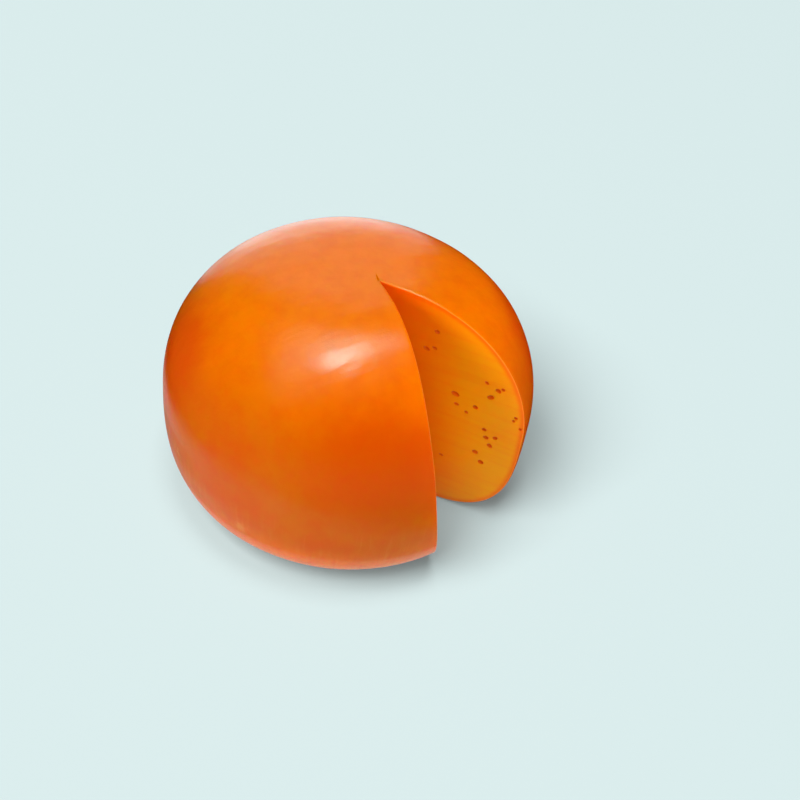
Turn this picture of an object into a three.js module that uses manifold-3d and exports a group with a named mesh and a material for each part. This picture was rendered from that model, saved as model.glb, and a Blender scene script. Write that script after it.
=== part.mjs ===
// A ball of pressed cheese with one wedge cut out of it, as one solid.
// Millimetres, +Z up. The origin is the middle of the flat foot, and the notch opens towards -Y.
import * as THREE from 'three';
import { mergeVertices } from 'three/addons/utils/BufferGeometryUtils.js';
import Module from 'manifold-3d';

// The pressed ball: two superellipse quarters that meet at the widest level.
const WIDEST_RADIUS = 100;
const FOOT_TO_WIDEST = 67.5;
const WIDEST_TO_CROWN = 72;
const FOOT_FLAT_RADIUS = 45;
const CROWN_FLAT_RADIUS = 22;
const FOOT_FULLNESS = 3.0; // superellipse exponent: 2 is an ellipse, more is boxier
const CROWN_FULLNESS = 2.1;
const HEIGHT = FOOT_TO_WIDEST + WIDEST_TO_CROWN;

// The notch: two knife cuts that meet in one inner edge.
const NOTCH_ANGLE = THREE.MathUtils.degToRad(49.8);
const APEX = new THREE.Vector2(4.8, -7.9); // where the inner edge meets the crown
const EDGE_LEAN = new THREE.Vector2(0.101, -0.147); // how far the inner edge moves out for each mm down
const LEFT_CUT_BOW = 3.8; // how far the left cut bulges into the notch
const LEFT_CUT_SKEW = 0.84; // below 1, the bulge sits nearer the inner edge
const LEFT_CUT_LENGTH = 90; // from the inner edge to the rind at the widest level

// Where the knife ran on past the inner edge, across the crown.
const NICK_LENGTH = 6;
const NICK_WIDTH = 1.2;
const NICK_DEPTH = 2.5;

// Small gas eyes, opened by the cuts. They lie in loose clusters: the place of each on the cut,
// measured outwards from the inner edge and up from the foot, its spread and its count.
const EYE_WIDTH = 2.6;
const EYE_SMALLEST = 0.75; // of that width
const EYE_LARGEST = 1.25;
const EYE_LONGEST = 1.5; // some are drawn out along the cut
const CLUSTER_CORE = 0.35; // the inner part of a cluster that its eyes keep out of
const EYE_SEED = 7;
const LEFT_CLUSTERS = [
  { out: 8, up: 66, spread: 8, count: 7 },
  { out: 20, up: 46, spread: 6, count: 4 },
  { out: 23, up: 68, spread: 4, count: 2 },
  { out: 33, up: 91, spread: 6, count: 3 },
  { out: 39, up: 61, spread: 6, count: 5 },
  { out: 47, up: 72, spread: 3, count: 2 },
  { out: 48, up: 87, spread: 5, count: 3 },
  { out: 60, up: 95, spread: 6, count: 3 },
  { out: 58, up: 112, spread: 3, count: 2 },
];
const RIGHT_CLUSTERS = [
  { out: 31, up: 119, spread: 1, count: 1 },
  { out: 28, up: 107, spread: 4, count: 2 },
  { out: 30, up: 35, spread: 1, count: 1 },
  { out: 45, up: 78, spread: 8, count: 5 },
  { out: 50, up: 44, spread: 5, count: 3 },
  { out: 60, up: 60, spread: 7, count: 5 },
  { out: 62, up: 96, spread: 7, count: 4 },
  { out: 74, up: 78, spread: 4, count: 3 },
];

// How finely the curves are stepped.
const TURN_STEPS = 72;
const ARC_STEPS = 17;
const BOW_STEPS = 10;

// The solid that cuts the notch reaches past the ball all round.
const CUTTER_REACH = 150;
const CUTTER_MARGIN = 10;

const MERGE_DISTANCE = 1e-4;

const wasm = await Module();
wasm.setup();

// A closed solid of any closed geometry, with its shared vertices joined and flat triangles dropped.
function solidOf(geometry) {
  const bare = geometry.clone();
  bare.deleteAttribute('normal');
  bare.deleteAttribute('uv');
  const merged = mergeVertices(bare, MERGE_DISTANCE);
  const index = merged.index.array;
  const triVerts = [];
  for (let i = 0; i < index.length; i += 3) {
    const [a, b, c] = [index[i], index[i + 1], index[i + 2]];
    if (a !== b && b !== c && c !== a) triVerts.push(a, b, c);
  }
  return new wasm.Manifold(new wasm.Mesh({
    numProp: 3,
    vertProperties: merged.attributes.position.array,
    triVerts: new Uint32Array(triVerts),
  }));
}

function geometryOf(solid) {
  const mesh = solid.getMesh();
  const geometry = new THREE.BufferGeometry();
  geometry.setAttribute('position', new THREE.BufferAttribute(mesh.vertProperties, 3));
  geometry.setIndex(new THREE.BufferAttribute(mesh.triVerts, 1));
  geometry.computeVertexNormals();
  return geometry;
}

// Repeatable draws between two values, from the minimal standard generator.
function drawsFrom(seed) {
  const multiplier = 16807;
  const modulus = 2147483647;
  let state = seed;
  return (low, high) => {
    state = (state * multiplier) % modulus;
    return low + (high - low) * (state / modulus);
  };
}

// One quarter of the ball's outline, from its flat (angle 90 degrees) to the widest level (0).
function quarterPoint(angle, flatRadius, rise, fullness) {
  const radius = flatRadius + (WIDEST_RADIUS - flatRadius) * Math.cos(angle) ** (2 / fullness);
  return { radius, rise: rise * Math.sin(angle) ** (2 / fullness) };
}

function ballGeometry() {
  const outline = [new THREE.Vector2(0, 0)];
  for (let i = ARC_STEPS; i > 0; i -= 1) {
    const angle = (Math.PI / 2) * (i / ARC_STEPS);
    const point = quarterPoint(angle, FOOT_FLAT_RADIUS, FOOT_TO_WIDEST, FOOT_FULLNESS);
    outline.push(new THREE.Vector2(point.radius, FOOT_TO_WIDEST - point.rise));
  }
  for (let i = 0; i <= ARC_STEPS; i += 1) {
    const angle = (Math.PI / 2) * (i / ARC_STEPS);
    const point = quarterPoint(angle, CROWN_FLAT_RADIUS, WIDEST_TO_CROWN, CROWN_FULLNESS);
    outline.push(new THREE.Vector2(point.radius, FOOT_TO_WIDEST + point.rise));
  }
  outline.push(new THREE.Vector2(0, HEIGHT));
  return new THREE.LatheGeometry(outline, TURN_STEPS).rotateX(Math.PI / 2);
}

// Each cut runs outwards from the inner edge. side is -1 for the left cut and 1 for the right one.
function cutFrame(side) {
  const angle = (side * NOTCH_ANGLE) / 2;
  const outwards = new THREE.Vector2(Math.sin(angle), -Math.cos(angle));
  const intoNotch = new THREE.Vector2(side * outwards.y, -side * outwards.x);
  return { outwards, intoNotch };
}

function bowAt(side, out) {
  if (side > 0) return 0;
  const along = Math.min(out / LEFT_CUT_LENGTH, 1) ** LEFT_CUT_SKEW;
  return LEFT_CUT_BOW * 4 * along * (1 - along);
}

// A point of a cut in plan, measured from the inner edge.
function planPoint(side, out) {
  const { outwards, intoNotch } = cutFrame(side);
  return outwards.clone().multiplyScalar(out).addScaledVector(intoNotch, bowAt(side, out));
}

function innerEdgeAt(height) {
  return APEX.clone().addScaledVector(EDGE_LEAN, HEIGHT - height);
}

function notchGeometry() {
  const plan = new THREE.Shape();
  plan.moveTo(0, 0);
  for (let i = 1; i <= BOW_STEPS; i += 1) {
    const point = planPoint(-1, (LEFT_CUT_LENGTH * i) / BOW_STEPS);
    plan.lineTo(point.x, point.y);
  }
  for (const side of [-1, 1]) {
    const corner = planPoint(side, CUTTER_REACH);
    plan.lineTo(corner.x, corner.y);
  }
  plan.closePath();
  const depth = HEIGHT + 2 * CUTTER_MARGIN;
  const foot = innerEdgeAt(0);
  const leaning = new THREE.Matrix4().set(
    1, 0, -EDGE_LEAN.x, foot.x,
    0, 1, -EDGE_LEAN.y, foot.y,
    0, 0, 1, 0,
    0, 0, 0, 1,
  );
  return new THREE.ExtrudeGeometry(plan, { depth, bevelEnabled: false })
    .translate(0, 0, -CUTTER_MARGIN)
    .applyMatrix4(leaning);
}

// A thin tapering slit that carries the left cut on past the inner edge.
function nickGeometry() {
  const { outwards } = cutFrame(-1);
  return new THREE.OctahedronGeometry(1)
    .scale(NICK_WIDTH / 2, NICK_LENGTH, NICK_DEPTH)
    .rotateZ(Math.atan2(-outwards.x, outwards.y))
    .translate(APEX.x, APEX.y, HEIGHT);
}

// One eye: a small hollow centred on the cut, drawn out along it.
function eyeGeometry(side, out, up, width, stretch) {
  const { outwards } = cutFrame(side);
  const place = innerEdgeAt(up).add(planPoint(side, out));
  return new THREE.OctahedronGeometry(width / 2, 1)
    .scale(stretch, 1, 1)
    .rotateZ(Math.atan2(outwards.y, outwards.x))
    .translate(place.x, place.y, up);
}

function eyeSolids(side, clusters, draw) {
  const solids = [];
  for (const { out, up, spread, count } of clusters) {
    for (let i = 0; i < count; i += 1) {
      const angle = 2 * Math.PI * ((i + draw(0, 1)) / count);
      const distance = spread * draw(CLUSTER_CORE, 1);
      const eyeOut = Math.max(out + distance * Math.cos(angle), EYE_WIDTH);
      const eyeUp = up + distance * Math.sin(angle);
      const width = EYE_WIDTH * draw(EYE_SMALLEST, EYE_LARGEST);
      solids.push(solidOf(eyeGeometry(side, eyeOut, eyeUp, width, draw(1, EYE_LONGEST))));
    }
  }
  return solids;
}

function cheeseGeometry() {
  const draw = drawsFrom(EYE_SEED);
  const hollows = [
    solidOf(notchGeometry()),
    solidOf(nickGeometry()),
    ...eyeSolids(-1, LEFT_CLUSTERS, draw),
    ...eyeSolids(1, RIGHT_CLUSTERS, draw),
  ];
  const whole = solidOf(ballGeometry());
  return geometryOf(hollows.reduce((left, hollow) => left.subtract(hollow), whole));
}

const waxedRind = new THREE.MeshStandardMaterial({ color: 0xe86f0c, roughness: 0.38, metalness: 0 });
const cheese = new THREE.Mesh(cheeseGeometry(), waxedRind);
cheese.name = 'cheese';

const ballOfCheese = new THREE.Group();
ballOfCheese.add(cheese);
export default ballOfCheese;
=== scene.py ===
import math

import bmesh
import bpy
from mathutils import Matrix, Vector, noise
from mathutils.bvhtree import BVHTree
from mathutils.kdtree import KDTree


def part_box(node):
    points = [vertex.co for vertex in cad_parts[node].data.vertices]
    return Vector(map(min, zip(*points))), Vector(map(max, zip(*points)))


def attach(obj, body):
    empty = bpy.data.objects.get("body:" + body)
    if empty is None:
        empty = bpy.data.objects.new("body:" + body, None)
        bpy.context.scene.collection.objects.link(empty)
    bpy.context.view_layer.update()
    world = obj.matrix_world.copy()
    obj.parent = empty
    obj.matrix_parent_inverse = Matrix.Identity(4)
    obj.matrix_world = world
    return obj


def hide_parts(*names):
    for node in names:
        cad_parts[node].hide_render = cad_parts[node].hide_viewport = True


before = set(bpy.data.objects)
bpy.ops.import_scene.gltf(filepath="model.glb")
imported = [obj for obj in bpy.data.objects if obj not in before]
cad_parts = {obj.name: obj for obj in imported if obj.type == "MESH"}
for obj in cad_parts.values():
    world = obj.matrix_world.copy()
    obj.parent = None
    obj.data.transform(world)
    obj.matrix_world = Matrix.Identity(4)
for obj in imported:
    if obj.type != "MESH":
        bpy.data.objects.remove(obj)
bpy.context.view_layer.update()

# A whole waxed cheese with one wedge cut out of it. Metres, +Z up. The origin is the middle of
# the flat foot, and the notch opens towards -Y.
bl_info = {
    "name": "Ball of Cheese",
    "version": (1, 0, 0),
    "blender": (4, 5, 0),
    "location": "3D View > Sidebar > Cheese",
    "description": "Models a waxed ball of cheese with a wedge cut out, and its studio",
    "category": "Object",
}

LOWEST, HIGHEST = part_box("cheese")

MM = 0.001

# The pressed ball: two superellipse quarters that meet at the widest level.
WIDEST_RADIUS = (HIGHEST.x - LOWEST.x) / 2
HEIGHT = HIGHEST.z
FOOT_TO_WIDEST = 67.5 * MM
WIDEST_TO_CROWN = HEIGHT - FOOT_TO_WIDEST
FOOT_FLAT_RADIUS = 45 * MM
CROWN_FLAT_RADIUS = 22 * MM
FOOT_FULLNESS = 3.0  # superellipse exponent: 2 is an ellipse, more is boxier
CROWN_FULLNESS = 2.1

# The notch: two knife cuts that meet in one inner edge, which leans outwards on its way down.
NOTCH_ANGLE = math.radians(49.8)
APEX = Vector((4.8, -7.9)) * MM
EDGE_LEAN = Vector((0.101, -0.147))
LEFT_CUT_BOW = 3.8 * MM
LEFT_CUT_SKEW = 0.84
LEFT_CUT_LENGTH = 90 * MM
NICK_LENGTH = 6 * MM
NICK_RUN_OUT = 1.2 * MM
NICK_WIDTH = 1.2 * MM
NICK_DEPTH = 2.5 * MM

# Gas eyes in loose clusters: (out from the inner edge, up from the foot, spread, count), in mm.
LEFT_CLUSTERS = (
    (8, 66, 8, 7), (20, 46, 6, 4), (23, 68, 4, 2), (33, 91, 6, 3), (39, 61, 6, 5),
    (47, 72, 3, 2), (48, 87, 5, 3), (60, 95, 6, 3), (58, 112, 3, 2),
)
RIGHT_CLUSTERS = (
    (31, 119, 1, 1), (28, 107, 4, 2), (30, 35, 1, 1), (45, 78, 8, 5),
    (50, 44, 5, 3), (60, 60, 7, 5), (62, 96, 7, 4), (74, 78, 4, 3),
)
EYE_WIDTH = 2.6 * MM
EYE_SMALLEST = 0.75  # of that width
EYE_LARGEST = 1.25
EYE_LONGEST = 1.5  # some are drawn out along the cut
CLUSTER_CORE = 0.35  # the inner part of a cluster that its eyes keep out of
EYE_SEED = 7

# Each eye is hollowed with a small turned solid, a little crooked.
EYE_TILT = math.radians(35)
EYE_WOBBLE = 0.22
EYE_WOBBLES_ACROSS = 1.3
EYE_CUTTER_TOP = 1.5 * MM

# How finely the surfaces are stepped.
TURN_STEPS = 240
RIM_STEPS = 3
CUT_STEPS = 44
ROW_STEP = 2.2 * MM
FOOT_ROW_STEP = 4 * MM
FIRST_ROW_STEP = 0.3 * MM
ROW_GROWTH = 1.12
OUTLINE_STEPS = 1200
EYE_TURN_STEPS = 18
DEPTH_STEP = 0.25 * MM
BISECTIONS = 50
MERGE_DISTANCE = 1e-6

# The slight unevenness of the pressed rind and of the knife's cuts.
BROAD_DENT = 55 * MM
BROAD_DENT_SHARE = 0.65
SMALL_DENT = 24 * MM
SMALL_DENT_SHARE = 0.35
SMALL_DENT_START = Vector((31.7, 12.3, 57.1))
DENT_CONTRAST = 0.8
DENT_REACH = 10 * MM
FOOT_FADE = 5 * MM
CUT_WAVE = 0.35 * MM
CUT_WAVE_SIZE = Vector((26, 26, 16.25)) * MM
CUT_WAVE_FADE = 8 * MM

# A rim's rounding takes at most this share of a row on a cut, and sharper folds than this angle
# stay crisp.
LARGEST_ROUNDING = 0.3
CREASE_ANGLE = math.radians(40)

# Painted light and shade in the wax's colour: paler towards the crown and towards the foot, by height,
# which is painted light from above and from below, and redder and darker round the places listed
# below, as (place, reach), which is painted shade where the ball gets less light. The clouds shift
# each border by up to half its waver either way.
CROWN_FROM = 95 * MM
CROWN_TO = 135 * MM
CROWN_WAVER = 30 * MM
FOOT_FROM = 45 * MM
FOOT_TO = 12 * MM
FOOT_WAVER = 20 * MM
# Painted shade: the places where the wax is redder and darker.
PAINTED_SHADE_PLACES = (
    (Vector((-45, -76, 97)) * MM, 54 * MM),
    (Vector((-84, 42, 98)) * MM, 42 * MM),
    (Vector((82, -47, 92)) * MM, 48 * MM),
)
PAINTED_SHADE_CORE = 0.25  # of the reach, where it is reddest
PAINTED_SHADE_WAVER = 60 * MM

# Faint upright streaks, full up to the first height and gone at the second.
STREAKS_FULL = 20 * MM
STREAKS_GONE = 70 * MM
STREAKS_WAVER = 30 * MM
STREAKS_IN_A_RADIAN = 38  # features of the noise, round the ball
STREAKS_IN_A_METRE = (30, 30, 40)

# Two small scuffs of rubbed wax, as (place, reach), with frayed edges.
SCUFF_PLACES = ((Vector((-94, -30, 37)) * MM, 7 * MM), (Vector((-97, 20, 52)) * MM, 4 * MM))
SCUFF_CORE = 0.2
SCUFF_FRAY = 14 * MM
SCUFF_GROWTH = 6 * MM

# Wiping marks run along this direction, on the ball's upper part.
WIPED = Vector((0.936, -0.277, 0.21))
WIPES_ALONG = 20  # features in a metre
WIPES_ACROSS = 130
WIPES_FROM = 60 * MM
WIPES_FULL = 100 * MM

# The most that each pattern changes the colour of the wax.
CLOUD_SHARE = 0.6
PAINTED_SHADE_SHARE = 0.75
MOTTLE_SHARE = 0.25
STREAK_SHARE = 0.2
SCUFF_SHARE = 0.55

# How high a pattern's value of 1 stands in the relief.
WAX_RELIEF = 0.3 * MM
PASTE_RELIEF = 0.18 * MM

# The paste: a pale line at the rim, partly the cut wax and partly a painted highlight of the rim's light
# catch, and a redder band under the rind, each full at the first depth and gone at the second, in mm,
# and a redder, darker part round the inner edge, which is painted shade in the notch's recess.
CUT_LINE_AND_HIGHLIGHT = (0.3, 1.2)
EDGE_BAND = (0.8, 4.5)
NOTCH_SHADE_REACH = 62 * MM
DRAG_IN_A_METRE = (14, 14, 260)  # features of the knife's drag marks

# The most that each part or pattern changes the colour of the paste.
WARM_SHARE = 0.15
DRAG_SHARE = 0.18
NOTCH_SHADE_SHARE = 0.9
EDGE_SHARE = 0.85
RIM_HIGHLIGHT_SHARE = 0.7

RIND, PASTE, EYE_WALL = range(3)

# The viewpoint, measured about the middle of the widest level.
VIEW_AZIMUTH = math.radians(-43.96)
VIEW_ELEVATION = math.radians(42.06)
VIEW_DISTANCE = 0.70
VIEW_ROLL = 0.1121
FOCAL_PIXELS = 1287.5
MIDDLE_PIXELS = (349.52, 379.87)
IMAGE_SIDE = 800
SENSOR = 36.0
CLIP_START = 0.01
CLIP_END = 100

FLOOR_RADIUS = 40
FLOOR_SIDES = 64

# Each light has the name of the setting that says how bright it is. Directions are (azimuth,
# elevation) in degrees from the widest level's middle. Azimuth 0 is towards the viewer and 90 to
# the right. These soft lights only light the cheese, as (name, direction, side).
SOFT_LIGHTS = (
    ("softbox", (-20, 80), 4.4),
    ("left_fill", (-50, 18), 3.0),
    ("front_fill", (45, 20), 3.0),
    ("side_fill", (105, 22), 3.0),
    ("back_fill", (165, 5), 3.0),
    ("bounce", (-20, -75), 3.0),
)
SOFT_LIGHT_DISTANCE = 6.0

# The floor's own lights: direction, side and share of the floor's light.
FLOOR_LIGHTS = (((-40, 55), 17.2, 0.78), ((0, 85), 8.4, 0.22))
FLOOR_LIGHT_DISTANCE = 30.0

# Upright lights behind the cheese that it only mirrors, as (name, direction, size).
BACK_LIGHTS = (("back_panel", (-168.5, 8), (2.06, 4.0)), ("back_glow", (-170, -3), (1.28, 1.75)))
BACK_LIGHT_DISTANCE = 2.4

# A lamp, its paler end, its shade and the shade's halo, which hang level and are only mirrored,
# as (name, place, size). Places are (to the right, away) of the ball's middle.
LAMP_LIGHTS = (
    ("lamp", (-0.185, 0.085), (1.1, 0.46)),
    ("lamp_tail", (0.40, 0.80), (1.3, 0.6)),
    ("lamp_shade", (-0.86, 0.15), (3.0, 1.55)),
    ("lamp_halo", (-1.62, -1.0), (3.7, 1.8)),
)
LAMP_HEIGHT = 3.0
LAMP_TURN = math.radians(45)

# Round parts of the table top that the wax mirrors, as (name, place, width).
TABLE_LIGHTS = (
    ("table_top", (-0.031, -0.020), 0.286),
    ("table_middle", (-0.024, 0.022), 0.268),
    ("table_corner", (-0.125, -0.125), 0.15),
)
TABLE_DEPTH = 1 * MM  # below the foot


# ---------------------------------------------------------------- sizes and colours to change


def colour_setting(name, description, default):
    return bpy.props.FloatVectorProperty(
        name=name, description=description, default=default, size=3, min=0, max=1, subtype="COLOR")


def light_setting(name, source, default):
    """How bright a soft light makes a white card that faces it, in three colours."""
    return bpy.props.FloatVectorProperty(
        name=name, description=f"How bright {source} lights a white card that faces it",
        default=default, size=3, min=0, max=4, subtype="COLOR")


def glow_setting(name, description, default):
    return bpy.props.FloatProperty(name=name, description=description, default=default, min=0)


class CheeseSizes(bpy.types.PropertyGroup):
    """Sizes of the cheese's finish"""

    rim_rounding: bpy.props.FloatProperty(
        name="Rim rounding", description="How far the cut rims are rounded over",
        default=1.3 * MM, min=0.1 * MM, max=4 * MM, unit="LENGTH", subtype="DISTANCE")
    unevenness: bpy.props.FloatProperty(
        name="Unevenness", description="How far the pressed rind dips below its even shape",
        default=0.5 * MM, min=0.0, max=2 * MM, unit="LENGTH", subtype="DISTANCE")
    eye_depth: bpy.props.FloatProperty(
        name="Eye depth", description="Depth of an eye as a share of its width",
        default=0.46, min=0.1, max=1.0, subtype="FACTOR")
    eye_lip: bpy.props.FloatProperty(
        name="Eye lip", description="Width of the soft lip round an eye",
        default=0.35 * MM, min=0.05 * MM, max=1 * MM, unit="LENGTH", subtype="DISTANCE")


class CheeseColours(bpy.types.PropertyGroup):
    """Colours of the cheese"""

    rind: colour_setting("Rind", "Waxed rind, where it is brightest", (0.64, 0.175, 0.0))
    # The deep rind colour is the wax's real red clouds, mottle and streaks, and also the painted shade
    # at the redder places.
    red_wax_and_painted_shade: colour_setting("Deep rind", "Waxed rind, in its redder clouds", (0.665, 0.088, 0.0))
    # Painted light: the crown is paler because it faces the light from above.
    crown_painted_light: colour_setting("Crown", "Paler wax of the crown", (0.865, 0.25, 0.0))
    # Painted light: the foot is paler where light comes up from below.
    foot_painted_light: colour_setting("Foot", "Rubbed wax near the foot", (1.0, 0.228, 0.0))
    scuff: colour_setting("Scuff", "Dry, rubbed wax", (0.80, 0.35, 0.055))
    paste: colour_setting("Paste", "Freshly cut paste", (1.0, 0.50, 0.0))
    # The pale rim line is partly the cut wax and partly a painted highlight of the rounded rim's light
    # catch.
    rim_line_and_painted_highlight: colour_setting("Paste rim", "Pale line where the rind was cut through", (1.0, 0.46, 0.07))
    paste_edge: colour_setting("Paste edge", "Paste just under the rind", (0.93, 0.17, 0.0))
    # Painted shade: the paste is redder and darker near the notch's inner edge, deep in the recess.
    notch_painted_shade: colour_setting("Inner paste", "Paste near the notch's inner edge", (0.92, 0.17, 0.0))
    # Painted shade: the eye wall is darker than the paste to stand for the shade in the pit.
    eye_pit_painted_shade: colour_setting("Eye wall", "Moist wall of a gas eye", (0.90, 0.19, 0.0))


class StudioSettings(bpy.types.PropertyGroup):
    """Floor and light"""

    floor: colour_setting("Floor", "Colour of the lit floor as it shows", (0.708, 0.847, 0.847))
    floor_glow: bpy.props.FloatProperty(
        name="Floor glow", description="Share of the floor's brightness that its shadows keep",
        default=0.21, min=0, max=1, subtype="FACTOR")
    floor_light: bpy.props.FloatProperty(
        name="Floor light", description="How bright the floor's own lights make a white card on it",
        default=8.0, min=1)
    softbox: light_setting("Softbox", "the softbox overhead", (0.60, 0.65, 0.65))
    left_fill: light_setting("Left fill", "the left panel", (0.64, 0.30, 0.28))
    front_fill: light_setting("Front fill", "the front panel", (0.20, 0.15, 0.06))
    side_fill: light_setting("Side fill", "the right panel", (0.52, 0.13, 0.10))
    back_fill: light_setting("Back fill", "the panel behind", (0.24, 0.08, 0.03))
    bounce: light_setting("Bounce", "the warm light from below", (0.09, 0.02, 0.01))
    lamp: glow_setting("Lamp", "Glow of the small lamp that the wax mirrors", 15.0)
    lamp_tail: glow_setting("Lamp tail", "Glow of the lamp's paler end", 3.5)
    lamp_shade: glow_setting("Lamp shade", "Glow of the long shade round the lamp", 1.5)
    lamp_halo: glow_setting("Lamp halo", "Faint glow beside the lamp's shade", 0.4)
    lamp_colour: colour_setting("Lamp colour", "Colour of the lamp and its shade", (0.15, 1.0, 1.0))
    back_panel: glow_setting("Back panel", "Glow of the panel behind that the wax mirrors", 0.72)
    back_glow: glow_setting("Back glow", "How much brighter the back panel's middle is", 0.75)
    table_top: glow_setting("Table top", "Glow of the pale table top that the wax mirrors", 0.22)
    table_middle: glow_setting("Table middle", "How much brighter the table top is close by", 0.28)
    table_corner: glow_setting("Table corner", "How much brighter the table top is at the left", 0.11)


# ---------------------------------------------------------------- the ball's shape


def quarter_point(angle, flat_radius, rise, fullness):
    """One quarter of the ball's outline, from its flat (a right angle) to the widest level (0)."""
    across = max(math.cos(angle), 0.0) ** (2 / fullness)
    return flat_radius + (WIDEST_RADIUS - flat_radius) * across, rise * math.sin(angle) ** (2 / fullness)


def quarter_outline(flat_radius, rise, fullness, step=ROW_STEP):
    """Points of a quarter at even steps, from its flat to the widest level."""
    points = []
    for i in range(OUTLINE_STEPS + 1):
        angle = math.pi / 2 * (1 - i / OUTLINE_STEPS)
        points.append(Vector(quarter_point(angle, flat_radius, rise, fullness)))
    along = [0.0]
    for here, after in zip(points, points[1:]):
        along.append(along[-1] + (after - here).length)
    count = round(along[-1] / step)
    rows, i = [], 0
    for n in range(count + 1):
        wanted = along[-1] * n / count
        while i < OUTLINE_STEPS - 1 and along[i + 1] < wanted:
            i += 1
        part = (wanted - along[i]) / (along[i + 1] - along[i])
        rows.append(points[i].lerp(points[i + 1], min(max(part, 0), 1)))
    return rows


def flat_rows(flat_radius, first_step, growth, last_step):
    """Radii from the middle of a flat face out to its border, with steps that widen."""
    radii, step = [0.0], first_step
    while radii[-1] + step < flat_radius:
        radii.append(radii[-1] + step)
        step = min(step * growth, last_step)
    scale = flat_radius / radii[-1]
    return [radius * scale for radius in radii]


def outline_rows():
    """(radius, height) of each row of the rind, from the crown's middle to the foot's."""
    rows = [(r, HEIGHT) for r in flat_rows(CROWN_FLAT_RADIUS, FIRST_ROW_STEP, ROW_GROWTH, ROW_STEP)]
    crown = quarter_outline(CROWN_FLAT_RADIUS, WIDEST_TO_CROWN, CROWN_FULLNESS)
    rows += [(p.x, FOOT_TO_WIDEST + p.y) for p in crown[1:]]
    foot = quarter_outline(FOOT_FLAT_RADIUS, FOOT_TO_WIDEST, FOOT_FULLNESS)
    rows += [(p.x, FOOT_TO_WIDEST - p.y) for p in foot[-2::-1]]
    flat = flat_rows(FOOT_FLAT_RADIUS, ROW_STEP, 1.0, FOOT_ROW_STEP)
    rows += [(r, 0.0) for r in flat[-2::-1]]
    return rows


def cut_frame(side):
    """Directions in plan: outwards along a cut, and off it into the notch. side is -1 or 1."""
    angle = side * NOTCH_ANGLE / 2
    outwards = Vector((math.sin(angle), -math.cos(angle)))
    return outwards, Vector((side * outwards.y, -side * outwards.x))


def plan_point(side, out):
    """A point of a cut in plan, measured from the inner edge."""
    outwards, into_notch = cut_frame(side)
    bow = 0.0
    if side < 0:
        along = min(max(out / LEFT_CUT_LENGTH, 0.0), 1.0) ** LEFT_CUT_SKEW
        bow = LEFT_CUT_BOW * 4 * along * (1 - along)
    return outwards * out + into_notch * bow


def inner_edge(height):
    return APEX + EDGE_LEAN * (HEIGHT - height)


def row_shape(radius, height):
    """A row's circle and its scale about the inner edge, which is below 1 inside the two flats."""
    if height > HEIGHT - MERGE_DISTANCE:
        return CROWN_FLAT_RADIUS, radius / CROWN_FLAT_RADIUS
    if height < MERGE_DISTANCE:
        return FOOT_FLAT_RADIUS, radius / FOOT_FLAT_RADIUS
    return radius, 1.0


def border_out(side, radius, height):
    """How far out along a cut a row of the rind meets it."""
    circle, share = row_shape(radius, height)
    if share <= 0:
        return 0.0
    edge = inner_edge(height)
    low, high = 0.0, 2 * WIDEST_RADIUS
    for _ in range(BISECTIONS):
        middle = (low + high) / 2
        if (edge + plan_point(side, middle) / share).length < circle:
            low = middle
        else:
            high = middle
    return (low + high) / 2


def on_row(radius, height, angle):
    """The point of a row in a direction from the inner edge."""
    circle, share = row_shape(radius, height)
    edge = inner_edge(height)
    direction = Vector((math.cos(angle), math.sin(angle)))
    along = edge.dot(direction)
    reach = -along + math.sqrt(max(along * along - edge.length_squared + circle * circle, 0.0))
    return edge + direction * reach * share


def direction_of(vector):
    """A plan direction as an angle that grows the long way round the ball, from the right cut."""
    return math.atan2(vector.y, vector.x) % (2 * math.pi)


def bezier(first, corner, last, t):
    return first * (1 - t) ** 2 + corner * 2 * t * (1 - t) + last * t * t


class Row:
    """One row of the rind and its two borders on the cuts."""

    def __init__(self, radius, height, rounding):
        self.radius, self.height = radius, height
        self.outs, self.angles, self.turns, self.softs = {}, {}, {}, {}
        for side in (-1, 1):
            out = border_out(side, radius, height)
            reach = plan_point(side, out if out > 0 else MERGE_DISTANCE)
            soft = min(rounding, LARGEST_ROUNDING * out)
            self.outs[side] = out
            self.angles[side] = direction_of(reach)
            self.softs[side] = soft
            self.turns[side] = soft / max(reach.length, MERGE_DISTANCE)
        self.angles[1] -= 2 * math.pi

    def border(self, side):
        place = inner_edge(self.height) + plan_point(side, self.outs[side])
        return place.to_3d() + Vector((0, 0, self.height))

    def on_rind(self, angle):
        return on_row(self.radius, self.height, angle).to_3d() + Vector((0, 0, self.height))


def cut_point(side, out, up):
    return (inner_edge(up) + plan_point(side, out)).to_3d() + Vector((0, 0, up))


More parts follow.
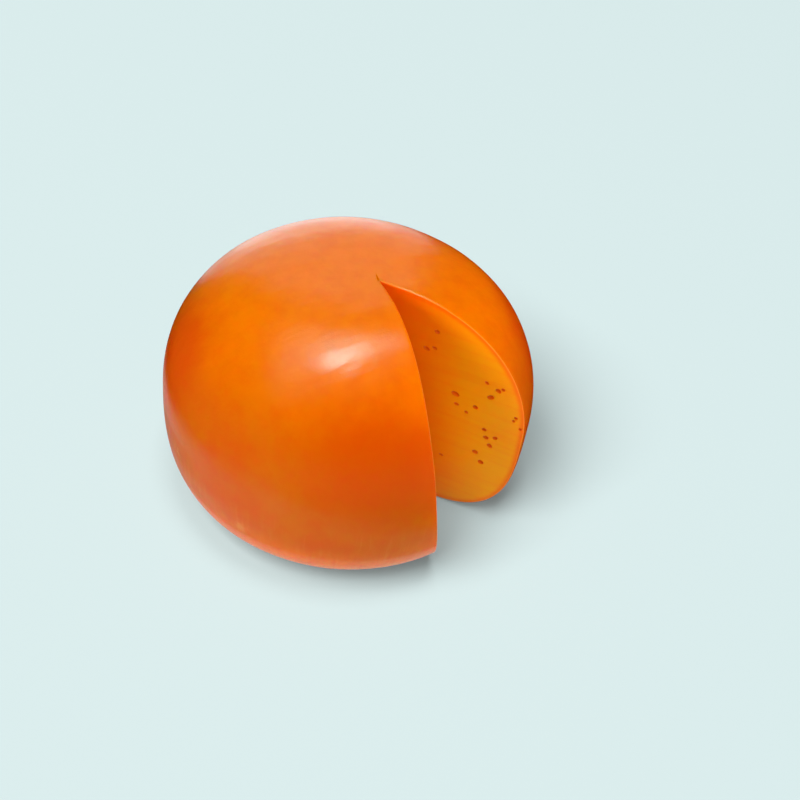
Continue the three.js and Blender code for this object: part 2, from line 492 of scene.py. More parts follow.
class RimShape:
    """Where the rind's and the cuts' columns run, from the rounded rims inwards."""

    def __init__(self, rounding):
        self.rows = [Row(radius, height, rounding) for radius, height in outline_rows()]
        lengths = [0.0]
        for before, here in zip(self.rows, self.rows[1:]):
            step = math.hypot(here.radius - before.radius, here.height - before.height)
            lengths.append(lengths[-1] + step)
        top = HEIGHT - NICK_DEPTH
        self.edge_heights = [top * (1 - length / lengths[-1]) for length in lengths]

    def inwards(self, i, side, share):
        """A point of row i on a cut, from its border (0) to the inner edge (1)."""
        row = self.rows[i]
        out = row.outs[side] * (1 - share)
        up = row.height + (self.edge_heights[i] - row.height) * share
        return cut_point(side, out, up)

    def soft_share(self, i, side):
        """The share of a cut's row that its rounding takes up."""
        row = self.rows[i]
        length = math.hypot(row.outs[side], row.height - self.edge_heights[i])
        return row.softs[side] / max(length, MERGE_DISTANCE)

    def rounded(self, i, side, t):
        """The rounded rim: 0 is on the rind, 1 on the cut."""
        row = self.rows[i]
        on_rind = row.on_rind(row.angles[side] + side * row.turns[side])
        on_cut = self.inwards(i, side, self.soft_share(i, side))
        return bezier(on_rind, row.border(side), on_cut, t)

    def rind_point(self, i, column):
        columns = TURN_STEPS + 2 * RIM_STEPS
        if column < RIM_STEPS:
            return self.rounded(i, 1, 0.5 * (1 - column / RIM_STEPS))
        if column > columns - RIM_STEPS:
            return self.rounded(i, -1, 0.5 * (1 - (columns - column) / RIM_STEPS))
        row = self.rows[i]
        start = row.angles[1] + row.turns[1]
        end = row.angles[-1] - row.turns[-1]
        return row.on_rind(start + (end - start) * (column - RIM_STEPS) / TURN_STEPS)

    def cut_face_point(self, i, side, column):
        if column < RIM_STEPS:
            return self.rounded(i, side, 0.5 * (1 + column / RIM_STEPS))
        soft = self.soft_share(i, side)
        return self.inwards(i, side, soft + (1 - soft) * (column - RIM_STEPS) / CUT_STEPS)


def turn_the_rind(bm, rim):
    """Spins the outline round the axis, and fits each row to the two cuts."""
    columns = TURN_STEPS + 2 * RIM_STEPS
    chain = [bm.verts.new((row.radius, 0, row.height)) for row in rim.rows]
    edges = [bm.edges.new(pair) for pair in zip(chain, chain[1:])]
    bmesh.ops.spin(bm, geom=chain + edges, axis=(0, 0, 1), cent=(0, 0, 0),
                   angle=2 * math.pi - NOTCH_ANGLE, steps=columns, use_merge=False)
    for index, vert in enumerate(bm.verts):
        column, i = divmod(index, len(rim.rows))
        vert.co = rim.rind_point(i, column)
    for face in bm.faces:
        face.material_index = RIND


def lay_the_cut(bm, rim, side):
    """Lays a grid between the rounded rim of a cut and the inner edge."""
    columns = RIM_STEPS + CUT_STEPS
    grid = bmesh.ops.create_grid(bm, x_segments=columns, y_segments=len(rim.rows) - 1, size=1)
    for index, vert in enumerate(grid["verts"]):
        i, column = divmod(index, columns + 1)
        vert.co = rim.cut_face_point(i, side, column)
    for face in {face for vert in grid["verts"] for face in vert.link_faces}:
        face.material_index = PASTE


class RindDepth:
    """How deep a point lies under the ball's even outline, and which way is out from there."""

    def __init__(self):
        points = [(x, FOOT_TO_WIDEST + y) for x, y in quarter_outline(
            CROWN_FLAT_RADIUS, WIDEST_TO_CROWN, CROWN_FULLNESS, step=DEPTH_STEP)]
        points += [(x, FOOT_TO_WIDEST - y) for x, y in quarter_outline(
            FOOT_FLAT_RADIUS, FOOT_TO_WIDEST, FOOT_FULLNESS, step=DEPTH_STEP)[-2::-1]]
        crown = [(x, HEIGHT) for x in flat_rows(CROWN_FLAT_RADIUS, DEPTH_STEP, 1, DEPTH_STEP)]
        foot = [(x, 0.0) for x in flat_rows(FOOT_FLAT_RADIUS, DEPTH_STEP, 1, DEPTH_STEP)]
        self.points = [Vector(p) for p in crown[:-1] + points + foot[-2::-1]]
        self.tree = KDTree(len(self.points))
        for i, point in enumerate(self.points):
            self.tree.insert(point.to_3d(), i)
        self.tree.balance()

    def at(self, place):
        """(depth, outward direction) of a place."""
        radius = math.hypot(place.x, place.y)
        _, i, depth = self.tree.find(Vector((radius, place.z, 0)))
        before = self.points[max(i - 1, 0)]
        after = self.points[min(i + 1, len(self.points) - 1)]
        along = (after - before).normalized()
        across, rise = -along.y, along.x
        turn = Vector((place.x, place.y)) / max(radius, MERGE_DISTANCE)
        return depth, Vector((turn.x * across, turn.y * across, rise))


def smooth(low, high, value):
    share = min(max((value - low) / (high - low), 0.0), 1.0)
    return share * share * (3 - 2 * share)


def nick_depth(place):
    """How deep the knife's overrun goes into the crown at a place."""
    outwards, _ = cut_frame(-1)
    away = Vector((place.x, place.y)) - APEX
    beyond = -away.dot(outwards)
    across = abs(away.x * outwards.y - away.y * outwards.x)
    length = NICK_LENGTH if beyond > 0 else NICK_RUN_OUT
    return NICK_DEPTH * max(0.0, 1 - abs(beyond) / length - across / (NICK_WIDTH / 2))


def dent_depth(place, depth, unevenness):
    """How far the pressed rind dips at a place. Its foot stays flat."""
    swell = noise.noise(place / BROAD_DENT) * BROAD_DENT_SHARE
    swell += noise.noise(place / SMALL_DENT + SMALL_DENT_START) * SMALL_DENT_SHARE
    dip = min(max(0.5 + DENT_CONTRAST * swell, 0.0), 1.0)
    return unevenness * dip * (1 - smooth(0, DENT_REACH, depth)) * smooth(0, FOOT_FADE, place.z)


def cut_wave(place, depth):
    """How a place on a cut moves off it, with less near the rind and the inner edge."""
    side = 1 if place.x > inner_edge(place.z).x else -1
    _, into_notch = cut_frame(side)
    away = (place.xy - inner_edge(place.z)).length
    waves = Vector([part / size for part, size in zip(place, CUT_WAVE_SIZE)])
    wave = CUT_WAVE * noise.noise(waves)
    wave *= smooth(0, CUT_WAVE_FADE, depth) * smooth(0, CUT_WAVE_FADE, away)
    return (into_notch * wave).to_3d()


def press_and_dent(bm, depths, unevenness):
    """Takes the evenness off the rind and the cuts, and opens the nick at the crown."""
    for vert in bm.verts:
        place = vert.co.copy()
        depth, out = depths.at(place)
        vert.co = place - out * dent_depth(place, depth, unevenness)
        if depth > MERGE_DISTANCE:
            vert.co += cut_wave(place, depth)
        if place.z > HEIGHT - MERGE_DISTANCE:
            vert.co.z -= nick_depth(place)


def draws_from(seed):
    """Repeatable draws between two values, from the minimal standard generator."""
    multiplier = 16807
    modulus = 2147483647
    state = seed

    def draw(low, high):
        nonlocal state
        state = (state * multiplier) % modulus
        return low + (high - low) * state / modulus

    return draw


def eye_places():
    """(side, out, up, width, stretch) of each gas eye. One that would overlap another is skipped."""
    draw = draws_from(EYE_SEED)
    for side, clusters in ((-1, LEFT_CLUSTERS), (1, RIGHT_CLUSTERS)):
        opened = []
        for out, up, spread, count in clusters:
            for i in range(count):
                angle = 2 * math.pi * (i + draw(0, 1)) / count
                distance = spread * MM * draw(CLUSTER_CORE, 1)
                eye_out = max(out * MM + distance * math.cos(angle), EYE_WIDTH)
                eye_up = up * MM + distance * math.sin(angle)
                width = EYE_WIDTH * draw(EYE_SMALLEST, EYE_LARGEST)
                stretch = draw(1, EYE_LONGEST)
                length = width * stretch
                if all(math.hypot(eye_out - x, eye_up - y) > (length + other) / 2
                       for x, y, other in opened):
                    opened.append((eye_out, eye_up, length))
                    yield side, eye_out, eye_up, width, stretch


def untagged(bm):
    return [vert for vert in bm.verts if not vert.tag]


def turn_an_eye(bm, place, normal, along, width, stretch, sizes, draw):
    """Adds the solid that one eye is hollowed with: a round pit with a soft lip, drawn out."""
    lip = sizes.eye_lip
    half, deep = width / 2 - lip, width * sizes.eye_depth
    # (radius, height) from the bottom of the pit up to its lip, and on above the cut.
    outline = (
        (0.0, -deep), (0.5 * half, -0.9 * deep), (0.82 * half, -0.62 * deep),
        (half - 0.15 * lip, -0.3 * deep), (half + 0.35 * lip, -0.12 * deep),
        (half + lip, 0.02 * deep), (half + 1.6 * lip, EYE_CUTTER_TOP), (0.0, EYE_CUTTER_TOP),
    )
    chain = [bm.verts.new((radius, 0, height)) for radius, height in outline]
    edges = [bm.edges.new(pair) for pair in zip(chain, chain[1:])]
    bmesh.ops.spin(bm, geom=chain + edges, axis=(0, 0, 1), cent=(0, 0, 0),
                   angle=2 * math.pi, steps=EYE_TURN_STEPS, use_merge=True)
    bmesh.ops.remove_doubles(bm, verts=untagged(bm), dist=MERGE_DISTANCE)
    skew = Matrix.Rotation(draw(-EYE_TILT, EYE_TILT), 3, "Z")
    shift = Vector((draw(0, 100), draw(0, 100), draw(0, 100)))
    across = normal.cross(along).normalized()
    along = across.cross(normal)
    turned = Matrix((along, across, normal)).transposed() @ skew
    for vert in untagged(bm):
        wobble = 1 + EYE_WOBBLE * noise.noise(vert.co / width * EYE_WOBBLES_ACROSS + shift)
        local = Vector((vert.co.x * wobble * stretch, vert.co.y * wobble, vert.co.z))
        vert.co = place + turned @ local
        vert.tag = True


def open_the_eyes(cheese, sizes):
    """Hollows the gas eyes out of both cuts."""
    surface = BVHTree.FromObject(cheese, bpy.context.evaluated_depsgraph_get())
    draw = draws_from(EYE_SEED + 1)
    bm = bmesh.new()
    for side, out, up, width, stretch in eye_places():
        place, normal, _, _ = surface.find_nearest(cut_point(side, out, up))
        outwards, _ = cut_frame(side)
        turn_an_eye(bm, place, normal, outwards.to_3d(), width, stretch, sizes, draw)
    if bm.calc_volume(signed=True) < 0:
        bmesh.ops.reverse_faces(bm, faces=bm.faces)
    mesh = bpy.data.meshes.new("eye_hollows")
    bm.to_mesh(mesh)
    bm.free()
    mesh.materials.append(cheese.data.materials[EYE_WALL])
    hollows = bpy.data.objects.new("eye_hollows", mesh)
    bpy.context.scene.collection.objects.link(hollows)
    cut = cheese.modifiers.new("eyes", "BOOLEAN")
    cut.operation, cut.object, cut.solver = "DIFFERENCE", hollows, "MANIFOLD"
    cut.material_mode = "TRANSFER"
    evaluated = cheese.evaluated_get(bpy.context.evaluated_depsgraph_get())
    opened = bpy.data.meshes.new_from_object(evaluated)
    cheese.modifiers.clear()
    whole, cheese.data = cheese.data, opened
    opened.name = cheese.name
    bpy.data.meshes.remove(whole)
    bpy.data.objects.remove(hollows)
    bpy.data.meshes.remove(mesh)


def many_sided(bm):
    return [face for face in bm.faces if len(face.verts) > 4]


def crisp_the_creases(mesh, depths):
    """Keeps the inner edge and the eyes' lips crisp, and notes how deep each point lies.

    The eyes leave faces of many sides, which are split first so that they triangulate cleanly.
    """
    bm = bmesh.new()
    bm.from_mesh(mesh)
    bmesh.ops.connect_verts_concave(bm, faces=many_sided(bm))
    bmesh.ops.poke(bm, faces=many_sided(bm))
    for face in bm.faces:
        face.smooth = True
    for edge in bm.edges:
        kinds = {face.material_index for face in edge.link_faces}
        if kinds == {PASTE, EYE_WALL}:
            edge.smooth = False
        elif kinds == {PASTE} and edge.calc_face_angle(0) > CREASE_ANGLE:
            edge.smooth = False
    under_rind = bm.verts.layers.float.new("under_rind")
    for vert in bm.verts:
        vert[under_rind] = depths.at(vert.co)[0] / MM
    bm.to_mesh(mesh)
    bm.free()


def model_cheese(sizes, materials):
    """The whole ball with its notch, as one closed mesh."""
    rim = RimShape(sizes.rim_rounding)
    depths = RindDepth()
    bm = bmesh.new()
    turn_the_rind(bm, rim)
    for side in (-1, 1):
        lay_the_cut(bm, rim, side)
    bmesh.ops.remove_doubles(bm, verts=bm.verts, dist=MERGE_DISTANCE)
    bmesh.ops.dissolve_degenerate(bm, edges=bm.edges, dist=MERGE_DISTANCE)
    press_and_dent(bm, depths, sizes.unevenness)
    bmesh.ops.recalc_face_normals(bm, faces=bm.faces)
    mesh = bpy.data.meshes.new("ball_of_cheese")
    bm.to_mesh(mesh)
    bm.free()
    for material in materials:
        mesh.materials.append(material)
    cheese = bpy.data.objects.new("ball_of_cheese", mesh)
    bpy.context.scene.collection.objects.link(cheese)
    open_the_eyes(cheese, sizes)
    crisp_the_creases(cheese.data, depths)
    return cheese


# ---------------------------------------------------------------- finishes


def opaque(colour):
    """A colour as a socket takes it: a link is left as it is."""
    return colour if isinstance(colour, Value) else (*colour, 1.0)


class Value:
    """A socket's value, on which plain arithmetic adds Math nodes."""

    def __init__(self, finish, socket):
        self.finish, self.socket = finish, socket

    def _math(self, operation, *values):
        return self.finish.node("ShaderNodeMath", {"operation": operation}, dict(enumerate(values)))

    def __add__(self, other):
        return self._math("ADD", self, other)

    def __sub__(self, other):
        return self._math("SUBTRACT", self, other)

    def __rsub__(self, other):
        return self._math("SUBTRACT", other, self)

    def __mul__(self, other):
        return self._math("MULTIPLY", self, other)

    def __pow__(self, other):
        return self._math("POWER", self, other)

    __radd__, __rmul__ = __add__, __mul__


class Finish:
    """A procedural material with one Principled shader."""

    def __init__(self, name, **constants):
        self.material = bpy.data.materials.new(name)
        self.material.use_nodes = True
        self.tree = self.material.node_tree
        self.shader = next(n for n in self.tree.nodes if n.type == "BSDF_PRINCIPLED")
        for socket, value in constants.items():
            self.shader.inputs[socket.replace("_", " ")].default_value = value

    def node(self, kind, settings=None, inputs=None, output=0):
        """Adds any node: its settings come first, then its sockets' values and links."""
        node = self.tree.nodes.new(kind)
        for name, value in (settings or {}).items():
            setattr(node, name, value)
        for name, value in (inputs or {}).items():
            if isinstance(value, Value):
                self.tree.links.new(value.socket, node.inputs[name])
            else:
                node.inputs[name].default_value = value
        return Value(self, node.outputs[output])

    def surface(self, **links):
        for socket, value in links.items():
            self.tree.links.new(value.socket, self.shader.inputs[socket.replace("_", " ")])

    def place(self, scale=(1, 1, 1)):
        """Object coordinates, scaled."""
        here = self.node("ShaderNodeTexCoord", output="Object")
        return self.node("ShaderNodeMapping", {"vector_type": "POINT"}, {"Vector": here, "Scale": scale})

    def part_of(self, vector, axis):
        return self.node("ShaderNodeSeparateXYZ", None, {"Vector": vector}, axis)

    def vectors(self, operation, *values, output="Vector", **named):
        """Vector Math on links and constants."""
        inputs = {**dict(enumerate(values)), **named}
        return self.node("ShaderNodeVectorMath", {"operation": operation}, inputs, output)

    def away(self, vector, place):
        """How far a point is from a place."""
        return self.vectors("DISTANCE", vector, place, output="Value")

    def noise(self, vector, scale, detail, roughness):
        return self.node("ShaderNodeTexNoise", {"noise_dimensions": "3D"}, {
            "Vector": vector, "Scale": scale, "Detail": detail, "Roughness": roughness})

    def ramp(self, value, low, high):
        """0 below low and 1 above high, with a smooth step between."""
        return self.node("ShaderNodeMapRange", {"interpolation_type": "SMOOTHSTEP"}, {
            "Value": value, "From Min": low, "From Max": high})

    def fade(self, value, low, high):
        """1 below low and 0 above high."""
        return 1 - self.ramp(value, low, high)

    def colours(self, share, first, second):
        return self.node("ShaderNodeMix", {"data_type": "RGBA"}, {
            0: share, 6: opaque(first), 7: opaque(second)}, output=2)

    def relief(self, height, distance):
        return self.node("ShaderNodeBump", None, {"Height": height, "Distance": distance})


def clouded_wax(wax, colours, even, broad, mottle):
    """The wax's colour before it was handled, with red clouds, plus painted light that makes the crown
    and the foot paler and painted shade that makes a few places redder.
    """
    height, uneven = wax.part_of(even, "Z"), broad - 0.5
    # Painted light: paler towards the crown, which faces the light from above.
    crown = wax.ramp(height + uneven * CROWN_WAVER, CROWN_FROM, CROWN_TO)
    # Painted light: paler towards the foot, where light comes up from below.
    foot = wax.fade(height + uneven * FOOT_WAVER, FOOT_TO, FOOT_FROM)
    colour = wax.colours(wax.ramp(broad, 0.42, 0.72) * CLOUD_SHARE, colours.rind, colours.red_wax_and_painted_shade)
    colour = wax.colours(crown, colour, colours.crown_painted_light)
    colour = wax.colours(foot, colour, colours.foot_painted_light)
    # Painted shade: redder and darker round a few places that get less light.
    for place, reach in PAINTED_SHADE_PLACES:
        deep = wax.fade(wax.away(even, place) + uneven * PAINTED_SHADE_WAVER, PAINTED_SHADE_CORE * reach, reach)
        colour = wax.colours(deep * PAINTED_SHADE_SHARE, colour, colours.red_wax_and_painted_shade)
    return wax.colours(wax.ramp(mottle, 0.35, 0.75) * MOTTLE_SHARE, colour, colours.red_wax_and_painted_shade)


def upright_streaks(wax, even):
    """Noise drawn out up and down the ball's side."""
    around = wax.vectors("NORMALIZE", wax.vectors("MULTIPLY", even, (1, 1, 0)))
    drawn = wax.vectors("MULTIPLY_ADD", around, 3 * [STREAKS_IN_A_RADIAN], wax.place(STREAKS_IN_A_METRE))
    return wax.noise(drawn, scale=1, detail=3, roughness=0.6)


def wiping_marks(wax, even):
    """Noise drawn out along the wiping direction."""
    along = wax.vectors("DOT_PRODUCT", even, WIPED, output="Value")
    drawn_out = wax.vectors("SCALE", WIPED, Scale=along * (WIPES_ALONG - WIPES_ACROSS))
    wiped = wax.vectors("MULTIPLY_ADD", even, 3 * [WIPES_ACROSS], drawn_out)
    marks = wax.noise(wiped, scale=1, detail=3, roughness=0.55)
    return marks * wax.ramp(wax.part_of(even, "Z"), WIPES_FROM, WIPES_FULL)


def waxed_rind(colours):
    """Satin orange wax: cloudy, with painted shade that makes it redder beside the notch and painted
    light that makes it paler on the crown.
    """
    wax = Finish("waxed_rind", IOR=1.45, Subsurface_Weight=0.7,
                 Subsurface_Radius=(1.0, 0.10, 0.02), Subsurface_Scale=0.03)
    even = wax.place()
    broad = wax.noise(even, scale=17, detail=3, roughness=0.55)
    mottle = wax.noise(even, scale=95, detail=4, roughness=0.6)
    colour = clouded_wax(wax, colours, even, broad, mottle)

    streaks = upright_streaks(wax, even)
    uneven_height = wax.part_of(even, "Z") + (broad - 0.5) * STREAKS_WAVER
    low = wax.fade(uneven_height, STREAKS_FULL, STREAKS_GONE)
    pale, dark = wax.ramp(streaks, 0.52, 0.72) * low, wax.fade(streaks, 0.30, 0.48) * low
    colour = wax.colours(pale * STREAK_SHARE, colour, colours.scuff)
    colour = wax.colours(dark * STREAK_SHARE, colour, colours.red_wax_and_painted_shade)
    fray = wax.noise(even, scale=260, detail=3, roughness=0.6) * SCUFF_FRAY - SCUFF_GROWTH
    for place, reach in SCUFF_PLACES:
        rubbed = wax.fade(wax.away(even, place) + fray, SCUFF_CORE * reach, reach)
        colour = wax.colours(rubbed * SCUFF_SHARE, colour, colours.scuff)

    fine = wax.noise(even, scale=700, detail=3, roughness=0.6)
    dimples = wax.noise(even, scale=62, detail=2, roughness=0.5)
    swells = wax.noise(even, scale=27, detail=1, roughness=0.5)
    bumps = fine * 0.2 + mottle * 0.5 + dimples + streaks * low * 0.25
    relief = wax.relief(bumps + wiping_marks(wax, even) * 0.8 + swells * 2.0, WAX_RELIEF)
    wax.surface(Base_Color=colour, Roughness=mottle * 0.10 + 0.17, Normal=relief)
    return wax.material


def from_inner_edge(paste, even):
    """How far a point is from the notch's inner edge, on its own level."""
    x, y, z = (paste.part_of(even, axis) for axis in "XYZ")
    down = HEIGHT - z
    off_x = x - down * EDGE_LEAN.x - APEX.x
    off_y = y - down * EDGE_LEAN.y - APEX.y
    return (off_x * off_x + off_y * off_y) ** 0.5


def cut_paste(colours):
    """Close, faintly moist paste with the knife's drag marks, redder just under the rind, with painted
    shade round the notch's inner edge and a pale rim line that is partly a painted highlight.
    """
    paste = Finish("cut_paste", IOR=1.45, Specular_IOR_Level=0.2, Subsurface_Weight=0.6,
                   Subsurface_Radius=(1.0, 0.15, 0.03), Subsurface_Scale=0.015)
    even = paste.place()
    depth = paste.node("ShaderNodeAttribute", {"attribute_name": "under_rind"}, output="Fac")
    clouds = paste.ramp(paste.noise(even, scale=28, detail=3, roughness=0.5), 0.3, 0.75)
    drag = paste.noise(paste.place(DRAG_IN_A_METRE), scale=1, detail=3, roughness=0.6)
    grain = paste.noise(even, scale=520, detail=3, roughness=0.6)
    warm = Vector(colours.paste).lerp(Vector(colours.paste_edge), WARM_SHARE)
    marked = paste.ramp(drag, 0.42, 0.7)
    # Painted shade: redder and darker towards the notch's inner edge, which lies deep in the recess.
    inner = paste.fade(from_inner_edge(paste, even), 0.0, NOTCH_SHADE_REACH)
    colour = paste.colours(clouds, colours.paste, warm)
    colour = paste.colours(marked * DRAG_SHARE, colour, colours.paste_edge)
    colour = paste.colours(inner * NOTCH_SHADE_SHARE, colour, colours.notch_painted_shade)
    colour = paste.colours(paste.fade(depth, *EDGE_BAND) * EDGE_SHARE, colour, colours.paste_edge)
    # The rim line: partly the cut wax, partly a painted highlight of the rim's light catch.
    colour = paste.colours(paste.fade(depth, *CUT_LINE_AND_HIGHLIGHT) * RIM_HIGHLIGHT_SHARE, colour, colours.rim_line_and_painted_highlight)
    relief = paste.relief(drag * 0.55 + grain * 0.35, PASTE_RELIEF)
    paste.surface(Base_Color=colour, Roughness=grain * 0.2 + 0.36, Normal=relief)
    return paste.material


def moist_eye(colours):
    """The wall of a gas eye: smoother than the cut paste, and darker, which is painted shade in the pit.
    """
    wall = Finish("moist_eye", IOR=1.45, Subsurface_Weight=0.3,
                  Subsurface_Radius=(1.0, 0.35, 0.08), Subsurface_Scale=0.003)
    shade = wall.noise(wall.place(), scale=260, detail=2, roughness=0.5)
    # The wall's darker colour is painted shade in the eye's pit.
    dark = 0.8 * Vector(colours.eye_pit_painted_shade)
    wall.surface(Base_Color=wall.colours(shade, colours.eye_pit_painted_shade, dark), Roughness=shade * 0.15 + 0.28)
    return wall.material


def plain_floor(studio):
    """A pale floor that glows a little, so that its shadows stay light."""
    lit = (1 - studio.floor_glow) / studio.floor_light * Vector(studio.floor)
    glow = studio.floor_glow * Vector(studio.floor)
    floor = Finish("plain_floor", Roughness=1.0, Specular_IOR_Level=0.0, Base_Color=opaque(lit),
                   Emission_Color=opaque(glow), Emission_Strength=1.0)
    return floor.material


# ---------------------------------------------------------------- studio


def from_viewpoint(azimuth, elevation, distance):
    """A place seen from the widest level's middle: azimuth 0 is towards the viewer, + to the right."""
    turn = VIEW_AZIMUTH + math.radians(azimuth)
    rise = math.radians(elevation)
    level = Vector((math.sin(turn), -math.cos(turn), 0)) * math.cos(rise)
    direction = level + Vector((0, 0, math.sin(rise)))
    return Vector((0, 0, FOOT_TO_WIDEST)) + direction * distance


def aimed_at_the_ball(place):
    """A matrix that stands something at place with its -Z towards the widest level's middle."""
    towards = Vector((0, 0, FOOT_TO_WIDEST)) - place
    return Matrix.Translation(place) @ towards.to_track_quat("-Z", "Y").to_matrix().to_4x4()


def set_camera(scene):
    """A camera aimed at the widest level's middle, rolled, and then turned to set that off centre."""
    azimuth, elevation = VIEW_AZIMUTH, VIEW_ELEVATION
    right = Vector((math.cos(azimuth), math.sin(azimuth), 0))
    up = Vector((-math.sin(azimuth), math.cos(azimuth), 0)) * math.sin(elevation)
    up.z = math.cos(elevation)
    back = right.cross(up)
    middle = IMAGE_SIDE / 2
    pan = math.atan((middle - MIDDLE_PIXELS[0]) / FOCAL_PIXELS)
    tilt = math.atan((middle - MIDDLE_PIXELS[1]) / FOCAL_PIXELS)
    turned = Matrix.Rotation(tilt, 3, "X") @ Matrix.Rotation(pan, 3, "Y")
    to_camera = turned @ Matrix.Rotation(-VIEW_ROLL, 3, "Z") @ Matrix((right, up, back))
    data = bpy.data.cameras.new("viewpoint")
    data.sensor_width = SENSOR
    data.lens = FOCAL_PIXELS * SENSOR / IMAGE_SIDE
    data.clip_start, data.clip_end = CLIP_START, CLIP_END
    camera = bpy.data.objects.new("viewpoint", data)
    place = Vector((0, 0, FOOT_TO_WIDEST)) + back * VIEW_DISTANCE
    camera.matrix_world = Matrix.Translation(place) @ to_camera.transposed().to_4x4()
    scene.collection.objects.link(camera)
    scene.camera = camera


def hang_a_light(name, matrix, size, power, shape, colour, mirrored):
    """An area light that the camera never sees: it is only mirrored, or it only lights."""
    data = bpy.data.lights.new(name, "AREA")
    data.shape = shape
    data.size, data.size_y = size
    data.energy = power
    data.color = colour
    light = bpy.data.objects.new(name, data)
    light.matrix_world = matrix
    light.visible_camera = False
    light.visible_diffuse = not mirrored
    light.visible_glossy = mirrored
    bpy.context.scene.collection.objects.link(light)
    return light


def hang_a_soft_light(name, direction, side, distance, brightness):
    """A large square light that makes a white card that faces it this bright, in three colours."""
    peak = max(brightness)
    colour = [part / peak for part in brightness]
    spread = 1 + (side / distance) ** 2 / 3
    power = peak * (math.pi * distance) ** 2 * spread
    matrix = aimed_at_the_ball(from_viewpoint(*direction, distance))
    return hang_a_light(name, matrix, (side, side), power, "RECTANGLE", colour, mirrored=False)


def hang_a_mirrored_light(name, matrix, size, radiance, colour=(1, 1, 1)):
    """An ellipse of light that the wax mirrors."""
    power = radiance * math.pi * size[0] * size[1] * (math.pi / 4)
    return hang_a_light(name, matrix, size, power, "ELLIPSE", colour, mirrored=True)


def hang_the_floor_lights(floor_light):
    """The lights of the floor alone, which give its shadow its shape."""
    lights = []
    for direction, side, share in FLOOR_LIGHTS:
        facing = share * floor_light / math.sin(math.radians(direction[1]))
        lights.append(hang_a_soft_light(
            "floor_light", direction, side, FLOOR_LIGHT_DISTANCE, [facing, facing, facing]))
    return lights


def hang_what_the_wax_mirrors(studio):
    """The lamp overhead, the panel behind and the table top."""
    turned = Matrix.Rotation(VIEW_AZIMUTH, 4, "Z")
    for name, place, size in LAMP_LIGHTS:
        middle = Matrix.Translation((*place, FOOT_TO_WIDEST + LAMP_HEIGHT))
        matrix = turned @ middle @ Matrix.Rotation(LAMP_TURN, 4, "Z")
        hang_a_mirrored_light(name, matrix, size, getattr(studio, name), studio.lamp_colour)
    for name, direction, size in BACK_LIGHTS:
        matrix = aimed_at_the_ball(from_viewpoint(*direction, BACK_LIGHT_DISTANCE))
        hang_a_mirrored_light(name, matrix, size, getattr(studio, name))
    for name, place, width in TABLE_LIGHTS:
        face_up = Matrix.Rotation(math.pi, 4, "X")
        matrix = turned @ Matrix.Translation((*place, -TABLE_DEPTH)) @ face_up
        hang_a_mirrored_light(name, matrix, (width, width), getattr(studio, name))


def light_only(thing, lights):
    """Keeps the light of some lights to one thing."""
    lit = bpy.data.collections.new(f"lit_{thing.name}")
    lit.objects.link(thing)
    for light in lights:
        light.light_linking.receiver_collection = lit


def lay_the_floor(studio):
    bm = bmesh.new()
    bmesh.ops.create_circle(bm, cap_ends=True, radius=FLOOR_RADIUS, segments=FLOOR_SIDES)
    mesh = bpy.data.meshes.new("floor")
    bm.to_mesh(mesh)
    bm.free()
    mesh.materials.append(plain_floor(studio))
    floor = bpy.data.objects.new("floor", mesh)
    floor.visible_glossy = False
    floor.visible_shadow = False
    bpy.context.scene.collection.objects.link(floor)
    return floor


def pale_room(colour):
    """A plain room that only the camera sees."""
    world = bpy.data.worlds.new("room")
    world.use_nodes = True
    background = world.node_tree.nodes["Background"]
    background.inputs["Color"].default_value = opaque(colour)
    background.inputs["Strength"].default_value = 1.0
    world.cycles_visibility.glossy = False
    world.cycles_visibility.diffuse = False
    return world


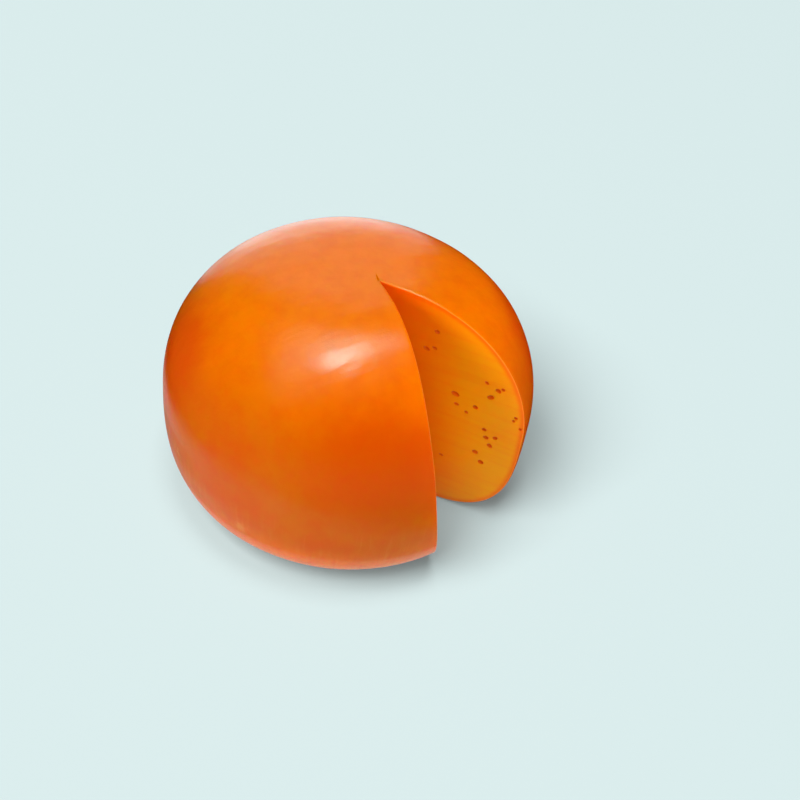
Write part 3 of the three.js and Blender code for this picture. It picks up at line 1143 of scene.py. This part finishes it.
def set_the_studio(studio):
    scene = bpy.context.scene
    floor = lay_the_floor(studio)
    scene.world = pale_room(studio.floor)
    light_only(floor, hang_the_floor_lights(studio.floor_light))
    light_only(bpy.data.objects["ball_of_cheese"], [
        hang_a_soft_light(name, direction, side, SOFT_LIGHT_DISTANCE, getattr(studio, name))
        for name, direction, side in SOFT_LIGHTS])
    hang_what_the_wax_mirrors(studio)
    set_camera(scene)
    scene.view_settings.view_transform = "Standard"


# ---------------------------------------------------------------- operators and panel


class CHEESE_OT_model_ball(bpy.types.Operator):
    """Model the ball of cheese with its notch, and give it its wax and paste"""

    bl_idname = "cheese.model_ball"
    bl_label = "Model the ball of cheese"
    bl_options = {"REGISTER", "UNDO"}

    def execute(self, context):
        colours = context.scene.cheese_colours
        materials = [waxed_rind(colours), cut_paste(colours), moist_eye(colours)]
        cheese = model_cheese(context.scene.cheese_sizes, materials)
        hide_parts("cheese")
        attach(cheese, "root")
        return {"FINISHED"}


class CHEESE_OT_set_studio(bpy.types.Operator):
    """Set the floor, the lights and the camera"""

    bl_idname = "cheese.set_studio"
    bl_label = "Set the studio"
    bl_options = {"REGISTER", "UNDO"}

    def execute(self, context):
        set_the_studio(context.scene.cheese_studio)
        return {"FINISHED"}


class CHEESE_PT_panel(bpy.types.Panel):
    """Sizes, colours and steps of the ball of cheese"""

    bl_idname = "CHEESE_PT_panel"
    bl_label = "Ball of cheese"
    bl_space_type = "VIEW_3D"
    bl_region_type = "UI"
    bl_category = "Cheese"

    def draw(self, context):
        scene = context.scene
        for settings in (scene.cheese_sizes, scene.cheese_colours, scene.cheese_studio):
            box = self.layout.box()
            for name in settings.__annotations__:
                box.prop(settings, name)
        self.layout.operator("cheese.model_ball")
        self.layout.operator("cheese.set_studio")


GROUPS = {"cheese_sizes": CheeseSizes, "cheese_colours": CheeseColours, "cheese_studio": StudioSettings}
CLASSES = (*GROUPS.values(), CHEESE_OT_model_ball, CHEESE_OT_set_studio, CHEESE_PT_panel)


def register():
    for kind in CLASSES:
        bpy.utils.register_class(kind)
    for name, group in GROUPS.items():
        setattr(bpy.types.Scene, name, bpy.props.PointerProperty(type=group))


def unregister():
    for name in GROUPS:
        delattr(bpy.types.Scene, name)
    for kind in reversed(CLASSES):
        bpy.utils.unregister_class(kind)


def main():
    register()
    bpy.ops.cheese.model_ball()
    bpy.ops.cheese.set_studio()


if __name__ == "__main__":
    main()
